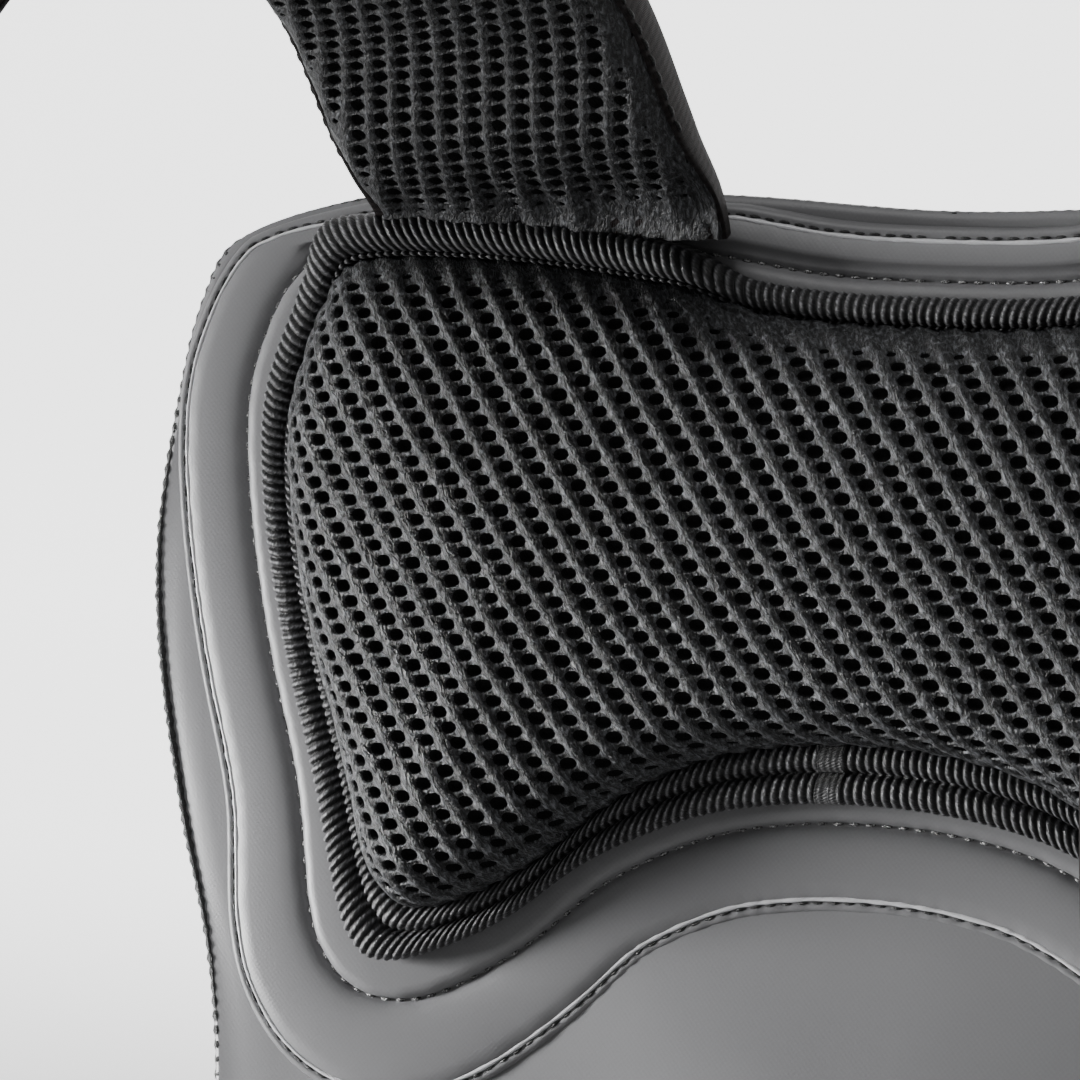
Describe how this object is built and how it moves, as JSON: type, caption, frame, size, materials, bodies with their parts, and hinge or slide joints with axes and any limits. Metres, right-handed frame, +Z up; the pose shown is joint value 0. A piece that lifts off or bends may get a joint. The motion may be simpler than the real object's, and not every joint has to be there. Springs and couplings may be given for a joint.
{
  "type": "back protector",
  "caption": "Strap-on padded back protector: curved coated-fabric panel with mesh cushions, overlapping outer plates, shoulder straps and an open waist belt with a side-release buckle.",
  "frame": {"origin": "middle of the waist line, on the panel's face that lies against the wearer", "axes": "+X across the back towards the wearer's left hand side as drawn on the right, +Y away from the wearer, +Z up"},
  "size_m": [0.3496, 0.3046, 0.5543],
  "materials": {
    "coated": "PVC-coated fabric, satin, fine weave showing through",
    "foam": "closed-cell foam",
    "air_mesh": "large-hole knitted spacer mesh",
    "binding": "ribbed grosgrain tape",
    "thread": "overlock thread",
    "plate": "moulded, fine grain",
    "rivet": "brushed",
    "strap_cloth": "fine twill",
    "webbing": "woven nylon webbing",
    "buckle": "moulded acetal"
  },
  "bodies": {
    "protector": {"base_panel": "coated", "comfort_foam": "foam", "impact_foam": "foam", "outer_cover": "coated", "edge_overlock": "thread", "upper_band": "coated", "upper_carrier": "coated", "upper_pad_foam": "foam", "upper_pad_mesh": "air_mesh", "upper_pad_binding": "binding", "lumbar_band": "coated", "lumbar_carrier": "coated", "lumbar_pad_foam": "foam", "lumbar_pad_mesh": "air_mesh", "lumbar_pad_binding": "binding", "plate_neck": "plate", "plate_upper": "plate", "plate_middle": "plate", "plate_lower": "plate", "plate_lumbar": "plate", "plate_rivets": "rivet", "strap_foam_left": "foam", "strap_mesh_left": "air_mesh", "strap_cover_left": "strap_cloth", "strap_foam_right": "foam", "strap_mesh_right": "air_mesh", "strap_cover_right": "strap_cloth", "strap_loop_left": "webbing", "strap_loop_right": "webbing", "adjuster_left": "webbing", "adjuster_right": "webbing", "adjuster_patch_left": "coated", "adjuster_patch_right": "coated"},
    "lock_left": {"ladder_lock_left": "buckle"},
    "lock_right": {"ladder_lock_right": "buckle"},
    "keeper_left": {"keeper_left": "webbing"},
    "keeper_right": {"keeper_right": "webbing"},
    "wing_left": {"wing_foam_left": "foam", "wing_liner_left": "air_mesh", "wing_skin_left": "coated", "wing_binding_left": "binding", "belt_left": "webbing"},
    "wing_right": {"wing_foam_right": "foam", "wing_liner_right": "air_mesh", "wing_skin_right": "coated", "wing_binding_right": "binding", "belt_right": "webbing"},
    "slider_left": {"belt_slider_left": "buckle"},
    "slider_right": {"belt_slider_right": "buckle"},
    "socket": {"buckle_socket": "buckle"},
    "plug": {"buckle_plug": "buckle"},
    "prong_upper": {"prong_upper": "buckle"},
    "prong_lower": {"prong_lower": "buckle"}
  },
  "joints": [
    {"name": "wing_right_swing", "type": "hinge", "parent": "protector", "child": "wing_right", "pos_m": [0.1152, 0.003, 0], "axis": [0, 0, 1], "range_deg": [-3, 60]},
    {"name": "wing_left_swing", "type": "hinge", "parent": "protector", "child": "wing_left", "pos_m": [-0.1152, 0.003, 0], "axis": [0, 0, -1], "range_deg": [-3, 60]},
    {"name": "slider_right_shift", "type": "hinge", "parent": "wing_right", "child": "slider_right", "pos_m": [0.07644, -0.14604, 0], "axis": [0, 0, 1], "range_deg": [-7, 7]},
    {"name": "slider_left_shift", "type": "hinge", "parent": "wing_left", "child": "slider_left", "pos_m": [-0.07644, -0.14604, 0], "axis": [0, 0, -1], "range_deg": [-7, 7]},
    {"name": "plug_swing", "type": "hinge", "parent": "wing_right", "child": "plug", "pos_m": [0.062, -0.21274, 0], "axis": [0, 0, 1], "range_deg": [-30, 30]},
    {"name": "socket_swing", "type": "hinge", "parent": "wing_left", "child": "socket", "pos_m": [-0.062, -0.21274, 0], "axis": [0, 0, -1], "range_deg": [-30, 30]},
    {"name": "prong_upper_flex", "type": "hinge", "parent": "plug", "child": "prong_upper", "pos_m": [0.0367, -0.21274, 0.0185], "axis": [0, -1, 0], "range_deg": [0, 7], "stiffness_Nm_per_rad": 0.12},
    {"name": "prong_lower_flex", "type": "hinge", "parent": "plug", "child": "prong_lower", "pos_m": [0.0367, -0.21274, -0.0185], "axis": [0, 1, 0], "range_deg": [0, 7], "stiffness_Nm_per_rad": 0.12},
    {"name": "lock_right_tilt", "type": "hinge", "parent": "protector", "child": "lock_right", "pos_m": [0.10519, -0.05552, 0.18918], "axis": [-0.9731, -0.2303, 0], "range_deg": [-8, 30], "deforming": ["adjuster_right"]},
    {"name": "keeper_right_slide", "type": "slide", "parent": "protector", "child": "keeper_right", "axis": [-0.1507, 0.6369, -0.756], "range_m": [-0.015, 0.02]},
    {"name": "lock_left_tilt", "type": "hinge", "parent": "protector", "child": "lock_left", "pos_m": [-0.10519, -0.05552, 0.18918], "axis": [-0.9731, 0.2303, 0], "range_deg": [-8, 30], "deforming": ["adjuster_left"]},
    {"name": "keeper_left_slide", "type": "slide", "parent": "protector", "child": "keeper_left", "axis": [0.1507, 0.6369, -0.756], "range_m": [-0.015, 0.02]}
  ]
}
